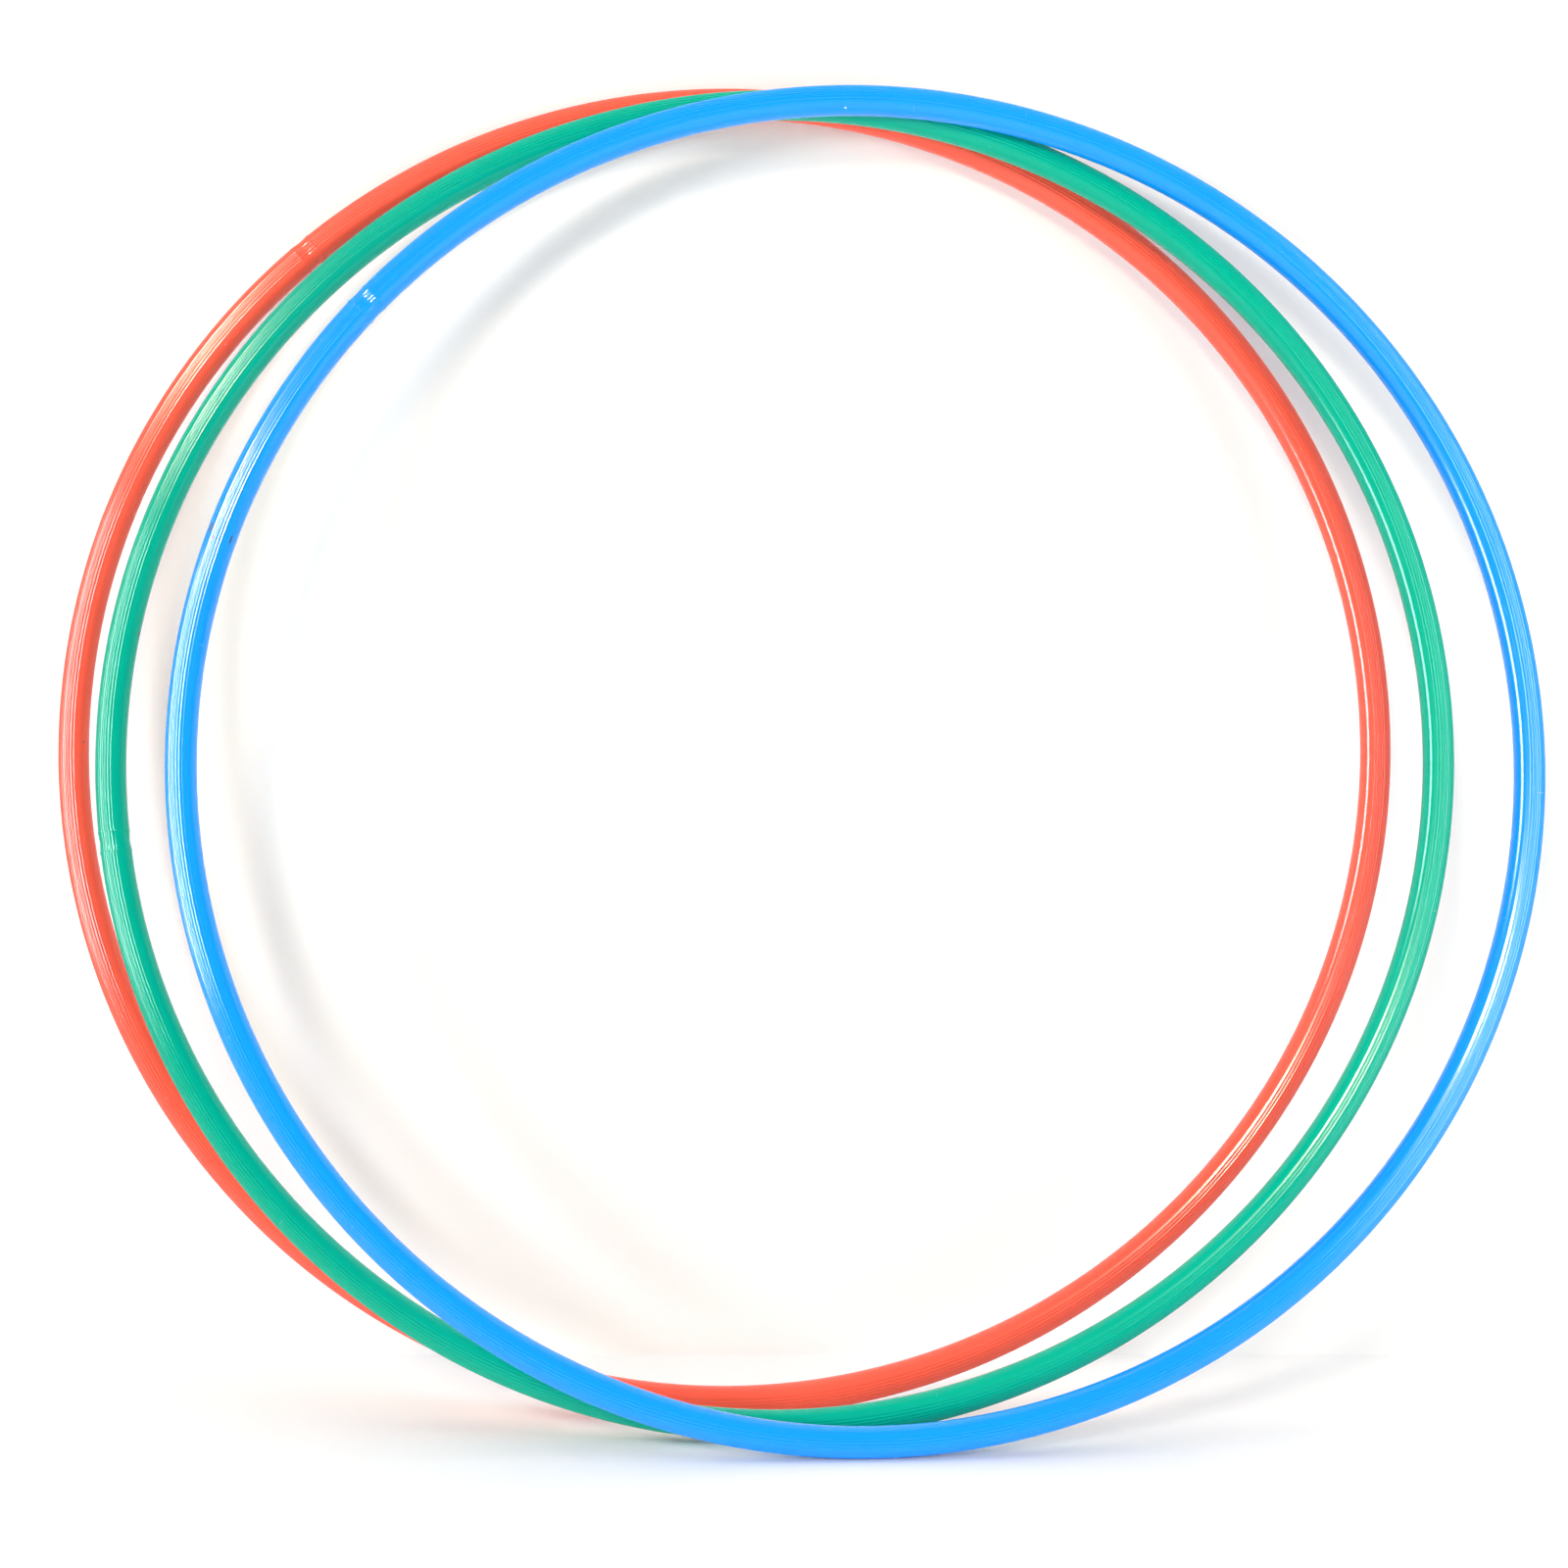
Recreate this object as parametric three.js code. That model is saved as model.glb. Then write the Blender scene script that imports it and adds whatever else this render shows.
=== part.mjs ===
// A set of three rhythmic gymnastics hoops that stand on the floor and lean back together, each
// against the next. Each hoop is one plastic tube bent to a ring, with its two ends welded over a
// joiner that sits inside the bore. Millimetres, +X right, +Y back to the wall, +Z up, floor at z = 0.
import * as THREE from "three";

// One hoop, the same for all three.
const OUTER_DIAMETER = 800;
const TUBE_RADIUS = 9;
const BORE_RADIUS = 7;
const RING_RADIUS = OUTER_DIAMETER / 2 - TUBE_RADIUS; // to the tube's centre line

// The weld fills the gap between the tube's ends, and stands a little proud of the tube.
const WELD_GAP = 12;
const WELD_RADIUS = TUBE_RADIUS + 0.25;
const WELD_STEPS = 2;

// The joiner plug runs on both sides of the weld, inside the bore.
const JOINER_LENGTH = 80;
const JOINER_RADIUS = 6.3;
const JOINER_STEPS = 8;

// Space left between two pieces that touch.
const CLEARANCE = 0.3;

// Sides of the round sections. The sweep's straight steps are given with each hoop.
const TUBE_SIDES = 16;
const BORE_SIDES = 10;

// Where each hoop stands: the middle of its ring, how far it leans back and how far it is turned.
// A tube has `steps` straight steps, and its weld is `stepsToWeld` and a half steps from the foot,
// so that the middle of one step is at the foot and the hoop stands on a flat facet.
const HOOPS = [
  { name: "red", x: -36, y: 57, lean: 8.3, turn: -0.1, steps: 71, stepsToWeld: 27, colour: 0xf4725c },
  { name: "green", x: -8, y: 26, lean: 10.2, turn: -1.3, steps: 73, stepsToWeld: 16, colour: 0x0cba9b },
  { name: "blue", x: 45, y: 0, lean: 10.7, turn: 2.2, steps: 72, stepsToWeld: 26, colour: 0x38adfb },
];

const FOOT_ANGLE = 270; // the foot's place on the ring, in degrees from the right-hand side
const JOINER_COLOUR = 0xe9e7e0;

// The centre line of a tube: an arc of the ring, in its own XY plane.
class RingArc extends THREE.Curve {
  constructor(fromAngle, toAngle) {
    super();
    this.from = THREE.MathUtils.degToRad(fromAngle);
    this.to = THREE.MathUtils.degToRad(toAngle);
  }

  getPoint(t, target = new THREE.Vector3()) {
    const angle = this.from + (this.to - this.from) * t;
    return target.set(RING_RADIUS * Math.cos(angle), RING_RADIUS * Math.sin(angle), 0);
  }
}

// The angle that a length of centre line covers on the ring, in degrees.
function arcAngle(length) {
  return THREE.MathUtils.radToDeg(length / RING_RADIUS);
}

// A regular outline with the middle of one of its flat sides at the angle `facing`.
function roundOutline(sides, radius, facing) {
  const points = [];
  for (let corner = 0; corner < sides; corner++) {
    const angle = facing + ((corner + 0.5) * 2 * Math.PI) / sides;
    points.push(new THREE.Vector2(radius * Math.cos(angle), radius * Math.sin(angle)));
  }
  return points;
}

// The section of a tube or a weld ring, with its bore.
function pipeSection(radius, facing) {
  const section = new THREE.Shape(roundOutline(TUBE_SIDES, radius, facing));
  section.holes.push(new THREE.Path(roundOutline(BORE_SIDES, BORE_RADIUS, facing)));
  return section;
}

function plugSection(facing) {
  return new THREE.Shape(roundOutline(BORE_SIDES, JOINER_RADIUS, facing));
}

// A section swept along the ring, from one angle to another.
function sweep(section, fromAngle, toAngle, steps) {
  const extrudePath = new RingArc(fromAngle, toAngle);
  return new THREE.ExtrudeGeometry(section, { extrudePath, steps, bevelEnabled: false });
}

// A section swept over a given length with its middle at one angle of the ring.
function sweepAround(section, middleAngle, length, steps) {
  const halfAngle = arcAngle(length) / 2;
  return sweep(section, middleAngle - halfAngle, middleAngle + halfAngle, steps);
}

function plastic(colour, roughness) {
  return new THREE.MeshStandardMaterial({ color: colour, roughness, metalness: 0 });
}

function namedMesh(name, geometry, material) {
  const mesh = new THREE.Mesh(geometry, material);
  mesh.name = name;
  return mesh;
}

// One hoop in its own XY plane: the tube, the weld ring and the joiner inside.
function makeHoop({ name, lean, steps, stepsToWeld, colour }) {
  const facing = THREE.MathUtils.degToRad(lean - 90);
  const gapAngle = arcAngle(WELD_GAP);
  const stepAngle = (360 - gapAngle) / steps;
  const tubeStart = FOOT_ANGLE - (stepsToWeld + 0.5) * stepAngle;
  const weldAngle = tubeStart - gapAngle / 2;

  const tube = sweep(pipeSection(TUBE_RADIUS, facing), tubeStart, tubeStart + 360 - gapAngle, steps);
  const weldLength = WELD_GAP - 2 * CLEARANCE;
  const weld = sweepAround(pipeSection(WELD_RADIUS, facing), weldAngle, weldLength, WELD_STEPS);
  const joiner = sweepAround(plugSection(facing), weldAngle, JOINER_LENGTH, JOINER_STEPS);

  const hoop = new THREE.Group();
  hoop.add(namedMesh(`${name}_tube`, tube, plastic(colour, 0.28)));
  hoop.add(namedMesh(`${name}_weld`, weld, plastic(colour, 0.2)));
  hoop.add(namedMesh(`${name}_joiner`, joiner, plastic(JOINER_COLOUR, 0.5)));
  return hoop;
}

// Stands a hoop up, leans it back, turns it and sets it down on the floor.
function stand(hoop, { x, y, lean, turn }) {
  const tilt = THREE.MathUtils.degToRad(90 - lean);
  hoop.rotation.set(tilt, 0, THREE.MathUtils.degToRad(turn), "ZXY");
  hoop.position.set(x, y, 0);
  hoop.position.z = -new THREE.Box3().setFromObject(hoop, true).min.z;
  return hoop;
}

const group = new THREE.Group();
for (const spec of HOOPS) {
  group.add(stand(makeHoop(spec), spec));
}

// The origin is on the floor, under the middle of the set.
const middle = new THREE.Box3().setFromObject(group, true).getCenter(new THREE.Vector3());
group.position.set(-middle.x, -middle.y, 0);

export default group;
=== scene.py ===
# %% [markdown]
# # Three gymnastics hoops
# Each hoop is one plastic tube, bent to a ring and welded shut. The tube was squeezed out of a
# die that leaves fine flutes on the side that faces outwards, so that it doesn't slip in the hand.
# This lesson sweeps such a tube with Geometry Nodes, welds it, gives it a plastic finish and
# stands the three hoops on a pale floor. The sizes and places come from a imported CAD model.

# %% Load the CAD model
import math
import bpy
from mathutils import Matrix, Vector


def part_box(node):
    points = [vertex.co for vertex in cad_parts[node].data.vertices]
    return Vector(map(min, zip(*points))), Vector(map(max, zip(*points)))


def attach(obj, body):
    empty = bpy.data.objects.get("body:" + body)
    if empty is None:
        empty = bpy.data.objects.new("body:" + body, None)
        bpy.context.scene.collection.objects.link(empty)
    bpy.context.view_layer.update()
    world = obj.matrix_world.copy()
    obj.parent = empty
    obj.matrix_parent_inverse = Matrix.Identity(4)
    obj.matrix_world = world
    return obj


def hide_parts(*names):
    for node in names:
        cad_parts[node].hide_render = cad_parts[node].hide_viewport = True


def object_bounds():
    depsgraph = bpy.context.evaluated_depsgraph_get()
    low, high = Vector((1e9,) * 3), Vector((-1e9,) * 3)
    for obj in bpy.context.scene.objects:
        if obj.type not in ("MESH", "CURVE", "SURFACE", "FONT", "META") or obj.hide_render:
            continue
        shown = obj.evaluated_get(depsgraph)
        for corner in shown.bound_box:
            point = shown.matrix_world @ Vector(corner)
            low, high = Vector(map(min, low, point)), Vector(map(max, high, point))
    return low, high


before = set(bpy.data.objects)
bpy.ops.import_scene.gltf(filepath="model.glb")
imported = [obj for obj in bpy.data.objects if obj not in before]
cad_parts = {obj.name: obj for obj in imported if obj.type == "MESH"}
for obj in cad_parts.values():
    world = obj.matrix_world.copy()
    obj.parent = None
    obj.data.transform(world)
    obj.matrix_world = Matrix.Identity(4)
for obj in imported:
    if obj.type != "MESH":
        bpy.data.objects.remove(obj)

cad_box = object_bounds()
print("CAD box, metres:", [[round(x, 4) for x in corner] for corner in cad_box])

# %% [markdown]
# ## Driving sizes
# A hoop is given by its ring, its tube and its weld, and by how far it leans back and is turned.
# The middle of each ring is the middle of its CAD tube's box.

# %% Sizes of one hoop, in metres and degrees
RING_RADIUS = 0.391  # to the tube's centre line
TUBE_RADIUS = 0.009
BORE_RADIUS = 0.007
WELD_GAP = 0.012
FLUTES_ROUND = 30  # as many as a tube would have if it were fluted all the way round
FLUTED_SIDE = 114  # how far the flutes reach to each side of the outermost line
FLUTE_DEPTH = 0.0003
FLUTE_FADE = 7  # the stretch over which a flute's depth fades out, in degrees

HOOPS = {
    "red": {"lean": 8.3, "turn": -0.1},
    "green": {"lean": 10.2, "turn": -1.3},
    "blue": {"lean": 10.7, "turn": 2.2},
}


def middle_of(node):
    low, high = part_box(node)
    return (low + high) / 2


for name, hoop in HOOPS.items():
    hoop["middle"] = middle_of(f"{name}_tube")
    hoop["middle"].z = RING_RADIUS * math.cos(math.radians(hoop["lean"])) + TUBE_RADIUS
    print(name, "hoop, middle at", [round(x, 4) for x in hoop["middle"]])

# %% [markdown]
# ## From a flat ring to a standing hoop
# Every hoop is made flat on the XY plane, with its front up, and then stood up by one matrix:
# a turn about X that leaves it leaning back, a small turn about Z, and a move to its place.
# The same matrix, turned round, tells where on the ring the CAD weld is.


# %% The matrix that stands a hoop up
def stand(hoop):
    tilt = Matrix.Rotation(math.radians(90 - hoop["lean"]), 4, "X")
    turn = Matrix.Rotation(math.radians(hoop["turn"]), 4, "Z")
    return Matrix.Translation(hoop["middle"]) @ turn @ tilt


for name, hoop in HOOPS.items():
    hoop["stand"] = stand(hoop)
    at_weld = hoop["stand"].inverted() @ middle_of(f"{name}_weld")
    hoop["weld_angle"] = math.atan2(at_weld.y, at_weld.x)
    print(name, "weld at", round(math.degrees(hoop["weld_angle"]), 1), "degrees")

# %% [markdown]
# ## A short way to write nodes
# Trees of nodes are long to write out one call at a time. Two small classes shorten them. A
# `Bench` adds a node from its type, its settings and the values of its sockets. A `Wire` is an
# output socket that can be used in a sum, so that `1 - mask` adds the Math node by itself. A
# number that stands before a `*` wouldn't know what a `Wire` is, so a wire always comes first.


# %% Wires and benches
class Wire:
    """An output socket that adds Math nodes when it is used in a sum."""

    def __init__(self, bench, socket):
        self.bench = bench
        self.socket = socket

    def math(self, operation, *values):
        return self.bench.add("ShaderNodeMath", {"operation": operation}, values)["Value"]

    def __add__(self, other):
        return self.math("ADD", self, other)

    def __sub__(self, other):
        return self.math("SUBTRACT", self, other)

    def __rsub__(self, other):
        return self.math("SUBTRACT", other, self)

    def __mul__(self, other):
        return self.math("MULTIPLY", self, other)

    def __truediv__(self, other):
        return self.math("DIVIDE", self, other)

    def __abs__(self):
        return self.math("ABSOLUTE", self)

    __radd__ = __add__


class Outputs:
    """The outputs of a node, each given as a Wire by its name or number."""

    def __init__(self, bench, node):
        self.bench = bench
        self.node = node

    def __getitem__(self, key):
        return Wire(self.bench, self.node.outputs[key])


class Bench:
    """Adds nodes to one tree."""

    def __init__(self, tree):
        self.tree = tree

    def add(self, kind, settings=None, inputs=None):
        node = self.tree.nodes.new(kind)
        for key, value in (settings or {}).items():
            if key == "captures":
                node.capture_items.new(value, "Value")
            else:
                setattr(node, key, value)
        pairs = inputs.items() if isinstance(inputs, dict) else enumerate(inputs or ())
        for key, value in pairs:
            self.feed(node.inputs[key], value)
        return Outputs(self, node)

    def feed(self, socket, value):
        if isinstance(value, Wire):
            self.tree.links.new(value.socket, socket)
        else:
            socket.default_value = value


print("classes ready:", Wire.__name__, Outputs.__name__, Bench.__name__)

# %% [markdown]
# ## The tube as a rule
# A hoop's tube follows a rule, so Geometry Nodes make it: a round section, with ribs pressed into
# it, is swept along an arc. One tree makes both the long tube and the short weld ring, with other
# numbers. The section's angle is 0 on the outermost line of the ring. A rib is the hump of a
# cosine, which leaves round tops and sharp valleys, and a smooth step ends the fluted side. The
# weld's two rims, its lumps and its neck are made along the surface's normal after the sweep.

# %% Inputs of the tree
TREE_INPUTS = {
    "Ring Radius": ("NodeSocketFloat", RING_RADIUS),
    "Tube Radius": ("NodeSocketFloat", TUBE_RADIUS),
    "Bore Radius": ("NodeSocketFloat", BORE_RADIUS),
    "Start Angle": ("NodeSocketFloat", 0.0),
    "Sweep Angle": ("NodeSocketFloat", 1.0),
    "Ring Steps": ("NodeSocketInt", 360),
    "Section Points": ("NodeSocketInt", 240),
    "Flutes": ("NodeSocketInt", FLUTES_ROUND),
    "Flute Depth": ("NodeSocketFloat", FLUTE_DEPTH),
    "Flute Shift": ("NodeSocketFloat", 0.0),
    "Fluted Side": ("NodeSocketFloat", math.radians(FLUTED_SIDE)),
    "Rim Height": ("NodeSocketFloat", 0.0),
    "Rim Width": ("NodeSocketFloat", 0.0005),
    "Lump Height": ("NodeSocketFloat", 0.0),
    "Neck Depth": ("NodeSocketFloat", 0.0),
    "Seed": ("NodeSocketFloat", 1.0),
    "Plastic": ("NodeSocketMaterial", None),
}


def new_tree(name, inputs):
    tree = bpy.data.node_groups.new(name, "GeometryNodeTree")
    tree.interface.new_socket("Geometry", in_out="OUTPUT", socket_type="NodeSocketGeometry")
    for label, (kind, value) in inputs.items():
        socket = tree.interface.new_socket(label, in_out="INPUT", socket_type=kind)
        if value is not None:
            socket.default_value = value
    return tree


tube_tree = new_tree("Fluted tube", TREE_INPUTS)
print(tube_tree.name, "has", len(TREE_INPUTS), "inputs")


# %% The section: a circle with ribs
def ribbed_section(bench, given):
    circle = bench.add(
        "GeometryNodeCurvePrimitiveCircle",
        {"mode": "RADIUS"},
        {"Resolution": given["Section Points"], "Radius": given["Tube Radius"]},
    )["Curve"]
    place = bench.add("GeometryNodeInputPosition")["Position"]
    parts = bench.add("ShaderNodeSeparateXYZ", {}, [place])
    around = parts["Y"].math("ARCTAN2", parts["Y"], parts["X"])
    phase = around * given["Flutes"] * 0.5 + given["Flute Shift"]
    rib = abs(phase.math("COSINE", phase))
    left = (given["Fluted Side"] - abs(around)) * (1 / math.radians(FLUTE_FADE))
    fluted = left.math("SMOOTH_MIN", left.math("MAXIMUM", left, 0.0), 1.0, 0.3)
    groove = (1 - rib) * fluted
    keep = 1 - groove * given["Flute Depth"] / given["Tube Radius"]
    pressed = bench.add(
        "ShaderNodeVectorMath", {"operation": "SCALE"}, {"Vector": place, "Scale": keep}
    )["Vector"]
    section = bench.add(
        "GeometryNodeSetPosition", {}, {"Geometry": circle, "Position": pressed}
    )["Geometry"]
    return section, around, groove


print("a rib is", round(1000 * 2 * math.pi * TUBE_RADIUS / FLUTES_ROUND, 2), "mm wide")


# %% The path: an arc of the ring
def ring_arc(bench, given, start, sweep):
    arc = bench.add(
        "GeometryNodeCurveArc",
        {"mode": "RADIUS"},
        {
            "Resolution": given["Ring Steps"] + 1,
            "Radius": given["Ring Radius"],
            "Start Angle": start,
            "Sweep Angle": sweep,
        },
    )["Curve"]
    return arc


def capture(bench, kind, geometry, value):
    node = bench.add("GeometryNodeCaptureAttribute", {"captures": kind}, [geometry, value])
    return node[0], node[1]


def store(bench, geometry, label, kind, value):
    return bench.add(
        "GeometryNodeStoreNamedAttribute",
        {"data_type": kind, "domain": "POINT"},
        {"Geometry": geometry, "Name": label, "Value": value},
    )["Geometry"]


print("one turn of the path is", round(2 * math.pi * RING_RADIUS, 3), "m long")

# %% [markdown]
# ## Sweep, shape and bore
# The arc and the section each carry a number through the sweep: how far along the tube a point
# is, and at which angle round it. They are stored on the mesh, because the plastic's scratches and
# the painted shade in its flutes follow the tube. The bore is swept the same way, a little longer
# than the tube, and cut out of it.

# %% The weld's rims, lumps and neck
RIM_REACH = 0.0011  # from an end of the tube to the top of its rim
LUMP_SCALE = 420.0  # lumps to a metre
RIM_GAPS = 0.36  # noise below this leaves a gap in the rim
RIM_GAIN = 3.2  # how steeply the rim rises beside a gap


def swell(bench, given, along, length):
    """How far the weld's rims and lumps stand out, less the neck between its rims."""
    from_end = along.math("MINIMUM", along, length - along)
    bell = (from_end - RIM_REACH) / given["Rim Width"]
    rim = bell.math("EXPONENT", bell * bell * -1)
    place = bench.add("GeometryNodeInputPosition")["Position"]
    lumps = {"Vector": place, "W": given["Seed"], "Scale": LUMP_SCALE, "Detail": 2.0}
    uneven = bench.add("ShaderNodeTexNoise", {"noise_dimensions": "4D"}, lumps)[0]
    patchy = (uneven - RIM_GAPS) * RIM_GAIN
    patchy = patchy.math("MAXIMUM", patchy.math("MINIMUM", patchy, 1.0), 0.0)
    turn = along * (2 * math.pi) / length
    neck = (1 - turn.math("COSINE", turn)) * 0.5 * given["Neck Depth"]
    return rim * patchy * given["Rim Height"] + (uneven - 0.5) * given["Lump Height"] - neck


print("the rims stand", round(1000 * RIM_REACH, 1), "mm in from the weld's ends")


# %% The bored pipe
BORE_SPARE = 0.002  # how much further than the tube the bore runs at each end, in radians
BORE_STEPS = 120
BORE_SIDES = 32


def outer_skin(bench, given):
    """The swept tube with its rims, and with its own coordinates stored on it."""
    section, around, groove = ribbed_section(bench, given)
    section, around = capture(bench, "FLOAT", section, around)
    section, groove = capture(bench, "FLOAT", section, groove)
    arc = ring_arc(bench, given, given["Start Angle"], given["Sweep Angle"])
    length = given["Sweep Angle"] * given["Ring Radius"]
    share = bench.add("GeometryNodeSplineParameter")["Factor"]
    arc, along = capture(bench, "FLOAT", arc, share * length)
    sweep = {"Curve": arc, "Profile Curve": section, "Fill Caps": True}
    tube = bench.add("GeometryNodeCurveToMesh", {}, sweep)["Mesh"]

    outwards = bench.add("GeometryNodeInputNormal")["Normal"]
    rise = swell(bench, given, along, length)
    push = bench.add(
        "ShaderNodeVectorMath", {"operation": "SCALE"}, {"Vector": outwards, "Scale": rise}
    )["Vector"]
    tube = bench.add("GeometryNodeSetPosition", {}, {"Geometry": tube, "Offset": push})[0]
    skin = bench.add("ShaderNodeCombineXYZ", {}, [along, around * given["Tube Radius"], 0.0])[0]
    tube = store(bench, tube, "skin", "FLOAT_VECTOR", skin)
    return store(bench, tube, "groove", "FLOAT", groove)


def bore_core(bench, given):
    start = given["Start Angle"] - BORE_SPARE
    arc = ring_arc(bench, given, start, given["Sweep Angle"] + 2 * BORE_SPARE)
    count = {"Curve": arc, "Count": BORE_STEPS}
    arc = bench.add("GeometryNodeResampleCurve", {}, count)["Curve"]
    size = {"Resolution": BORE_SIDES, "Radius": given["Bore Radius"]}
    section = bench.add("GeometryNodeCurvePrimitiveCircle", {"mode": "RADIUS"}, size)["Curve"]
    sweep = {"Curve": arc, "Profile Curve": section, "Fill Caps": True}
    return bench.add("GeometryNodeCurveToMesh", {}, sweep)["Mesh"]


def build_tube_tree(tree):
    bench = Bench(tree)
    given = bench.add("NodeGroupInput")
    done = tree.nodes.new("NodeGroupOutput")
    pipe = bench.add(
        "GeometryNodeMeshBoolean",
        {"operation": "DIFFERENCE", "solver": "MANIFOLD"},
        {"Mesh 1": outer_skin(bench, given), "Mesh 2": bore_core(bench, given)},
    )["Mesh"]
    pipe = bench.add("GeometryNodeSetShadeSmooth", {}, {"Geometry": pipe})["Geometry"]
    pipe = bench.add("GeometryNodeRealizeInstances", {}, [pipe])["Geometry"]
    finished = {"Geometry": pipe, "Material": given["Plastic"]}
    pipe = bench.add("GeometryNodeSetMaterial", {}, finished)["Geometry"]
    bench.feed(done.inputs["Geometry"], pipe)
    return len(tree.nodes)


print("nodes in the tube's tree:", build_tube_tree(tube_tree))

# %% [markdown]
# ## The plastic
# The hoops are soft, glossy polyethylene, dyed right through. Up close such a plastic is never one
# colour: the dye is a little cloudy, the valleys of the flutes get a darker line of painted shade,
# the die draws faint lines along the tube, and use leaves hair-thin scratches, specks and a scuff
# or two. All of these follow the tube, so they read the numbers that the sweep stored, and none of
# them reads where the camera is.


# %% Small helpers for the plastic
def new_finish(name):
    finish = bpy.data.materials.new(name)
    finish.use_nodes = True
    finish.node_tree.nodes.clear()
    return finish, Bench(finish.node_tree)


def tint(bench, mask, first, second):
    """A colour that goes from the first to the second as the mask goes from 0 to 1."""
    settings = {"data_type": "RGBA", "blend_type": "MIX"}
    mix = bench.add("ShaderNodeMix", settings, {"Factor": mask, 6: first, 7: second})
    return mix[2]


def stretched(bench, vector, along, around):
    """The tube's own coordinates with a scale of their own in each direction."""
    scale = {"Vector": vector, "Scale": (along, around, 1.0)}
    return bench.add("ShaderNodeMapping", {"vector_type": "POINT"}, scale)["Vector"]


def noise(bench, vector, scale, detail=2.0, seed=0.0):
    inputs = {"Vector": vector, "W": seed, "Scale": scale, "Detail": detail}
    return bench.add("ShaderNodeTexNoise", {"noise_dimensions": "4D"}, inputs)[0]


def ramp(bench, value, low, high):
    """0 below low, 1 above high and a straight line between."""
    inputs = {"Value": value, "From Min": low, "From Max": high}
    settings = {"interpolation_type": "LINEAR", "clamp": True}
    return bench.add("ShaderNodeMapRange", settings, inputs)["Result"]


def spot(bench, skin, along, around, length, width):
    """1 in the middle of a round mark on the tube and 0 outside it, in metres."""
    parts = bench.add("ShaderNodeSeparateXYZ", {}, [skin])
    across = (parts["Y"] - around) / width
    down = (parts["X"] - along) / length
    far = across * across + down * down
    return ramp(bench, far, 1.0, 0.0)


# %% [markdown]
# ## Wear, in order of size
# The marks are few, as on hoops that are nearly new. Each mark is given by its place on the ring
# and its place round the tube, both in degrees, its half length and half width in metres, and
# whether it is dark dirt or a pale nick.

# %% Marks of use on each hoop
MARKS = {
    "red": [(180.1, -144, 0.0008, 0.0007, "dark")],
    "green": [(169.7, -172, 0.0022, 0.0012, "dark"), (20, 70, 0.0022, 0.0006, "pale")],
    "blue": [
        (160.7, -46, 0.0046, 0.0017, "dark"),
        (161.2, -140, 0.0038, 0.0009, "dark"),
        (161.5, -75, 0.0012, 0.0006, "dark"),
        (160.4, -152, 0.0009, 0.0007, "dark"),
        (90.9, -138, 0.0008, 0.0007, "pale"),
    ],
}
DYES = {"red": (1.0, 0.113, 0.068), "green": (0.0, 0.41, 0.27), "blue": (0.005, 0.305, 1.0)}
GLOSS = {"red": 0.3, "green": 0.2, "blue": 0.4}  # how strongly each plastic mirrors the room
DIRT = (0.05, 0.05, 0.06, 1.0)
NICK = (0.92, 0.93, 0.92, 1.0)
print("marks:", {name: len(marks) for name, marks in MARKS.items()})


def shade(colour, share):
    return tuple(channel * share for channel in colour) + (1.0,)


# %% The hoop plastic
PLASTIC_IOR = 1.49
SMOOTHEST = 0.10  # the roughness of clean plastic
RELIEF_DEPTH = 0.00004
RELIEF_STRENGTH = 0.35


def hoop_plastic(name, seed, weld_angle):
    finish, bench = new_finish(f"{name} hoop plastic")
    dye = DYES[name]
    skin = bench.add("ShaderNodeAttribute", {"attribute_name": "skin"})["Vector"]
    groove = bench.add("ShaderNodeAttribute", {"attribute_name": "groove"})["Fac"]
    place = bench.add("ShaderNodeTexCoord")["Object"]

    cloud = noise(bench, place, 14.0, 3.0, seed)
    die_lines = noise(bench, stretched(bench, skin, 5.0, 2600.0), 1.0, 3.0, seed + 1)
    hairs = noise(bench, stretched(bench, skin, 900.0, 60.0), 1.0, 4.0, seed + 2)
    hairs = ramp(bench, hairs, 0.70, 0.76)
    grain = noise(bench, place, 900.0, 2.0, seed + 3)
    dust = ramp(bench, noise(bench, place, 420.0, 1.0, seed + 4), 0.79, 0.84)

    colour = tint(bench, cloud, shade(dye, 0.94), shade(dye, 1.05))
    # Painted shade: the dye is darkened along the valleys of the flutes, where shade would fall.
    colour = tint(bench, groove * 0.12, colour, shade(dye, 0.62))
    colour = tint(bench, (hairs + dust) * 0.22, colour, NICK)
    worn = 0.0
    for ring_angle, section_angle, length, width, kind in MARKS[name]:
        along = math.radians((ring_angle - weld_angle) % 360) * RING_RADIUS - WELD_GAP / 2
        around = math.radians(section_angle) * TUBE_RADIUS
        mark = spot(bench, skin, along, around, length, width)
        mark = ramp(bench, mark * (0.4 + grain * 1.3), 0.3, 0.6)
        colour = tint(bench, mark * 0.85, colour, DIRT if kind == "dark" else NICK)
        worn = mark + worn

    roughness = SMOOTHEST + cloud * 0.04 + die_lines * 0.06 + hairs * 0.2 + worn * 0.2
    relief = die_lines * 0.18 + grain * 0.12 - hairs * 0.5 - worn * 1.0
    bump = {"Strength": RELIEF_STRENGTH, "Distance": RELIEF_DEPTH, "Height": relief}
    normal = bench.add("ShaderNodeBump", {}, bump)["Normal"]
    plastic = {
        "Base Color": colour,
        "Roughness": roughness,
        "Normal": normal,
        "IOR": PLASTIC_IOR,
        "Specular IOR Level": GLOSS[name],
    }
    surface = bench.add("ShaderNodeBsdfPrincipled", {}, plastic)[0]
    bench.add("ShaderNodeOutputMaterial", {}, {"Surface": surface})
    return finish


plastics = {}
for number, (name, hoop) in enumerate(HOOPS.items()):
    plastics[name] = hoop_plastic(name, 10.0 * number, math.degrees(hoop["weld_angle"]))
    print(plastics[name].name, "has", len(plastics[name].node_tree.nodes), "nodes")

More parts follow.
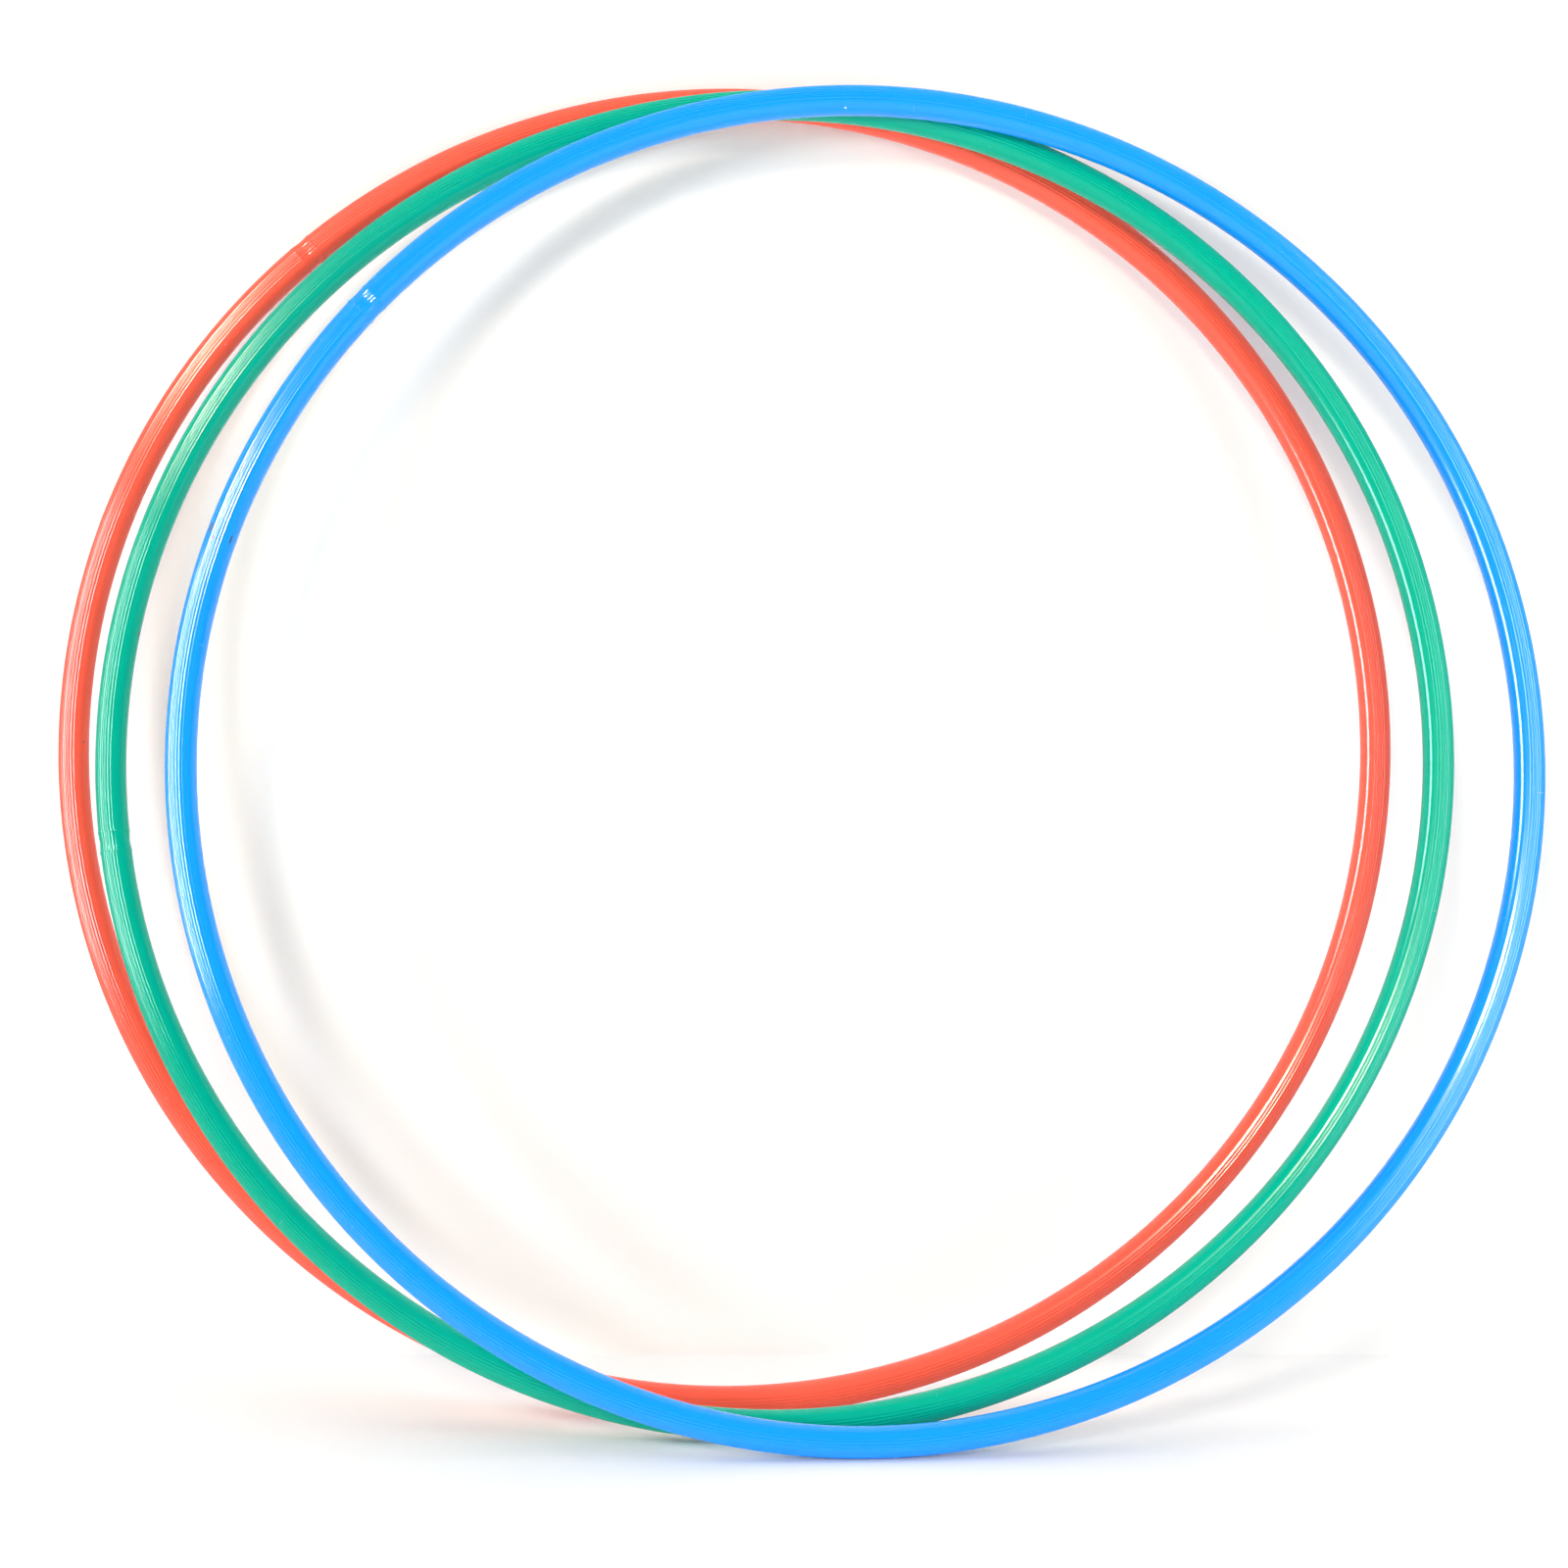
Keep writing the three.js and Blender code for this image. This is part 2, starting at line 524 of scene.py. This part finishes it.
# %% [markdown]
# ## Making the tubes
# The tree is put on an empty mesh as a modifier, its inputs are set by their sockets' identifiers,
# and the evaluated result is taken as a plain mesh. The mesh is then stood up in its hoop's place,
# so that the finished object sits at the origin like every CAD node. Only the rims of the tube's
# ends are marked sharp.


# %% Run the tree and take its mesh
SHARPEST = 75  # edges that bend more than this, in degrees, are drawn sharp


def swept_piece(name, matrix, settings):
    maker = bpy.data.objects.new(f"{name}_maker", bpy.data.meshes.new(name))
    bpy.context.scene.collection.objects.link(maker)
    modifier = maker.modifiers.new("Fluted tube", "NODES")
    modifier.node_group = tube_tree
    for item in tube_tree.interface.items_tree:
        if item.in_out == "INPUT" and item.name in settings:
            modifier[item.identifier] = settings[item.name]
    graph = bpy.context.evaluated_depsgraph_get()
    mesh = bpy.data.meshes.new_from_object(maker.evaluated_get(graph))
    bpy.data.objects.remove(maker)
    mesh.transform(matrix)
    mesh.set_sharp_from_angle(angle=math.radians(SHARPEST))
    piece = bpy.data.objects.new(name, mesh)
    bpy.context.scene.collection.objects.link(piece)
    return piece


def hand_over(piece, hoop_name, node):
    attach(piece, f"{hoop_name}_hoop")
    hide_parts(node)
    triangles = sum(len(face.vertices) - 2 for face in piece.data.polygons)
    print(piece.name, "has", triangles, "triangles")


# %% The three tubes
gap_angle = WELD_GAP / RING_RADIUS
for name, hoop in HOOPS.items():
    tube = swept_piece(
        f"{name}_fluted_tube",
        hoop["stand"],
        {
            "Start Angle": hoop["weld_angle"] + gap_angle / 2,
            "Sweep Angle": 2 * math.pi - gap_angle,
            "Plastic": plastics[name],
        },
    )
    hand_over(tube, name, f"{name}_tube")

# %% [markdown]
# ## The welds
# The tube's two ends were pressed together hot. That leaves a stretch about as long as the tube is
# thick where the flutes don't line up, with a thin, broken rim at each end that catches the light
# and a slight neck between the rims. It is the same sweep over a short arc, with its flutes
# shifted by part of a rib, and with rims, lumps and the neck.

# %% The three weld rings
WELD_LAP = 0.0008  # how far the weld laps over each end of the tube
WELD_PROUD = 0.00012  # how far it stands out from the tube before its rims and its neck
FIRST_WELD_SEED = 3.0
weld_sweep = (WELD_GAP + 2 * WELD_LAP) / RING_RADIUS

for number, (name, hoop) in enumerate(HOOPS.items()):
    weld = swept_piece(
        f"{name}_weld_ring",
        hoop["stand"],
        {
            "Tube Radius": TUBE_RADIUS + WELD_PROUD,
            "Start Angle": hoop["weld_angle"] - weld_sweep / 2,
            "Sweep Angle": weld_sweep,
            "Ring Steps": 48,
            "Flute Shift": 0.8,
            "Rim Height": 0.0003,
            "Lump Height": 0.0003,
            "Neck Depth": 0.00045,
            "Seed": FIRST_WELD_SEED + number,
            "Plastic": plastics[name],
        },
    )
    hand_over(weld, name, f"{name}_weld")

# %% [markdown]
# ## The joiners
# A short plug inside the bore lines up the two ends. It can't be seen once the tube is on it, but a
# reader may open the hoop, so it keeps its CAD mesh and gets the finish of plain moulded plastic:
# off-white, a little cloudy, with a fine spark-eroded grain.


# %% The joiners' plastic
def joiner_plastic():
    finish, bench = new_finish("joiner plastic")
    place = bench.add("ShaderNodeTexCoord")["Object"]
    cloud = noise(bench, place, 60.0, 3.0)
    grain = noise(bench, place, 2500.0, 2.0, 5.0)
    colour = tint(bench, cloud, (0.74, 0.73, 0.68, 1.0), (0.83, 0.82, 0.78, 1.0))
    bump = {"Strength": 0.3, "Distance": 0.0001, "Height": grain}
    normal = bench.add("ShaderNodeBump", {}, bump)["Normal"]
    plastic = {"Base Color": colour, "Roughness": 0.42 + grain * 0.15, "Normal": normal}
    surface = bench.add("ShaderNodeBsdfPrincipled", {}, plastic)[0]
    bench.add("ShaderNodeOutputMaterial", {}, {"Surface": surface})
    return finish


joiner_finish = joiner_plastic()
for name in HOOPS:
    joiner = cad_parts[f"{name}_joiner"]
    joiner.data.materials.clear()
    joiner.data.materials.append(joiner_finish)
    print(joiner.name, "is finished in", joiner_finish.name)

# %% [markdown]
# ## Floor and wall
# The hoops stand on a pale floor and lean on a pale wall, both a soft white with a faint mottle.
# The wall takes the hoops' soft shadows. It is seen only from its front, so that it doesn't hide
# the hoops from a camera behind it.


# %% Pale paint
def pale_paint(name, brightness, one_sided):
    finish, bench = new_finish(name)
    place = bench.add("ShaderNodeTexCoord")["Object"]
    cloud = noise(bench, place, 3.0, 4.0)
    white = (brightness, brightness, brightness)
    colour = tint(bench, cloud, shade(white, 0.98), shade(white, 1.02))
    paint = {"Base Color": colour, "Roughness": 0.7, "Specular IOR Level": 0.2}
    surface = bench.add("ShaderNodeBsdfPrincipled", {}, paint)[0]
    if one_sided:
        behind = bench.add("ShaderNodeNewGeometry")["Backfacing"]
        clear = bench.add("ShaderNodeBsdfTransparent")[0]
        surface = bench.add("ShaderNodeMixShader", {}, [behind, surface, clear])[0]
    bench.add("ShaderNodeOutputMaterial", {}, {"Surface": surface})
    return finish


def sheet(name, corners, finish):
    mesh = bpy.data.meshes.new(name)
    mesh.from_pydata(corners, [], [tuple(range(len(corners)))])
    mesh.materials.append(finish)
    piece = bpy.data.objects.new(name, mesh)
    bpy.context.scene.collection.objects.link(piece)
    return piece


# %% Lay the floor and put up the wall
FLOOR_HALF = 8.0
WALL_HALF = 3.2
WALL_HEIGHT = 2.2
WALL_GAP = 0.001  # behind the rearmost hoop
wall_y = cad_box[1].y + WALL_GAP

floor_corners = [
    (-FLOOR_HALF, -FLOOR_HALF, 0.0),
    (FLOOR_HALF, -FLOOR_HALF, 0.0),
    (FLOOR_HALF, FLOOR_HALF, 0.0),
    (-FLOOR_HALF, FLOOR_HALF, 0.0),
]
wall_corners = [
    (-WALL_HALF, wall_y, 0.0),
    (WALL_HALF, wall_y, 0.0),
    (WALL_HALF, wall_y, WALL_HEIGHT),
    (-WALL_HALF, wall_y, WALL_HEIGHT),
]
floor = sheet("floor", floor_corners, pale_paint("floor paint", 0.92, False))
wall = sheet("wall", wall_corners, pale_paint("wall paint", 0.84, True))
print("the wall stands at y =", round(wall_y, 4), "and faces", tuple(wall.data.polygons[0].normal))

# %% [markdown]
# ## Light
# The hoops stand in a bright room. Its light does two jobs, and each job has its own panels. Some
# panels are seen only in reflections: the left pane draws the thin bright line along the right-hand
# arcs and the wide gloss on the left ones, the right pane glosses the outsides of the right-hand
# arcs, and the warm bulb makes the bright patches on the upper left. The others only shed
# daylight: the lamp and the two skies throw the soft shadows on the wall, which come out bluish or
# warm because each is lit by the other lights, and the window and the ceiling fill them.
#
# The white surround stands in for the light that pale walls throw back. It is kept out of
# reflections, because a room's walls are far too dim to gloss a tube.

# %% The surround
SURROUND_STRENGTH = 0.28
surround = bpy.data.worlds.new("pale surround")
surround.use_nodes = True
background = surround.node_tree.nodes["Background"]
background.inputs["Color"].default_value = (1.0, 1.0, 1.0, 1.0)
background.inputs["Strength"].default_value = SURROUND_STRENGTH
surround.cycles_visibility.glossy = False
bpy.context.scene.world = surround
print("surround strength:", SURROUND_STRENGTH)


# %% A panel
def panel(name, place, shines, size, brightness, colour, in_reflections):
    """A flat light, in metres, that either shows in reflections or sheds light on matt faces."""
    width, height = size
    light = bpy.data.lights.new(name, "AREA")
    light.shape = "RECTANGLE"
    light.size, light.size_y = width, height
    light.energy = brightness * math.pi * width * height
    light.color = colour
    piece = bpy.data.objects.new(name, light)
    piece.location = place
    piece.rotation_euler = Vector(shines).to_track_quat("-Z", "Y").to_euler()
    piece.visible_camera = False
    piece.visible_diffuse = not in_reflections
    piece.visible_glossy = in_reflections
    bpy.context.scene.collection.objects.link(piece)
    print(name, "at", [round(x, 2) for x in piece.location], "power", round(light.energy), "W")


# %% Put the panels up
DAY = (0.90, 0.96, 1.0)
WARM = (1.0, 0.89, 0.70)

# Each row has a name, a place, the way it shines, its width and height, its brightness and colour.
REFLECTED = [
    ("left pane", (-0.76, -0.43, 0.52), (0.80, 0.60, 0), (0.32, 0.56), 40.0, DAY),
    ("right pane", (1.18, -0.85, 0.58), (0.50, 0.87, 0), (1.60, 1.05), 13.0, DAY),
    ("bulb", (-1.60, -3.47, 2.35), (0.31, 0.85, -0.43), (0.30, 0.30), 850.0, WARM),
]
DAYLIGHT = [
    ("warm lamp", (-0.93, -3.47, 2.15), (0.23, 0.87, -0.44), (0.6, 0.6), 44.0, WARM),
    ("left sky", (-2.38, -3.16, 0.96), (0.60, 0.79, -0.14), (0.7, 0.7), 34.0, DAY),
    ("right sky", (2.57, -3.06, 0.75), (-0.64, 0.76, -0.09), (0.9, 0.9), 9.0, WARM),
    ("right window", (1.70, -1.10, 0.75), (-0.75, 0.66, 0), (1.2, 1.4), 1.9, DAY),
    ("ceiling", (0.0, -0.6, 2.6), (0, 0, -1), (3.0, 2.4), 1.5, DAY),
]
for row in REFLECTED:
    panel(*row, in_reflections=True)
for row in DAYLIGHT:
    panel(*row, in_reflections=False)

# %% [markdown]
# ## Camera
# The camera looks at the hoops from just above their middle and a little downwards, from about
# twice their width away. The picture's whites are meant to be plain white, so the view transform
# is the standard one.

# %% Place the camera
LENS = 59.6  # millimetres, on a sensor 36 mm wide
CAMERA_BACK = 1.5
CAMERA_LEFT = 0.045
CAMERA_HEIGHT = 0.493
CAMERA_DIP = 4.5  # degrees below level
camera_data = bpy.data.cameras.new("camera")
camera_data.sensor_width = 36.0
camera_data.lens = LENS
camera = bpy.data.objects.new("camera", camera_data)
front = HOOPS["blue"]["middle"]
camera.location = (front.x - CAMERA_LEFT, front.y - CAMERA_BACK, CAMERA_HEIGHT)
camera.rotation_euler = (math.radians(90 - CAMERA_DIP), 0.0, 0.0)
bpy.context.scene.collection.objects.link(camera)
bpy.context.scene.camera = camera
bpy.context.scene.view_settings.view_transform = "Standard"
print("camera at", [round(x, 3) for x in camera.location])
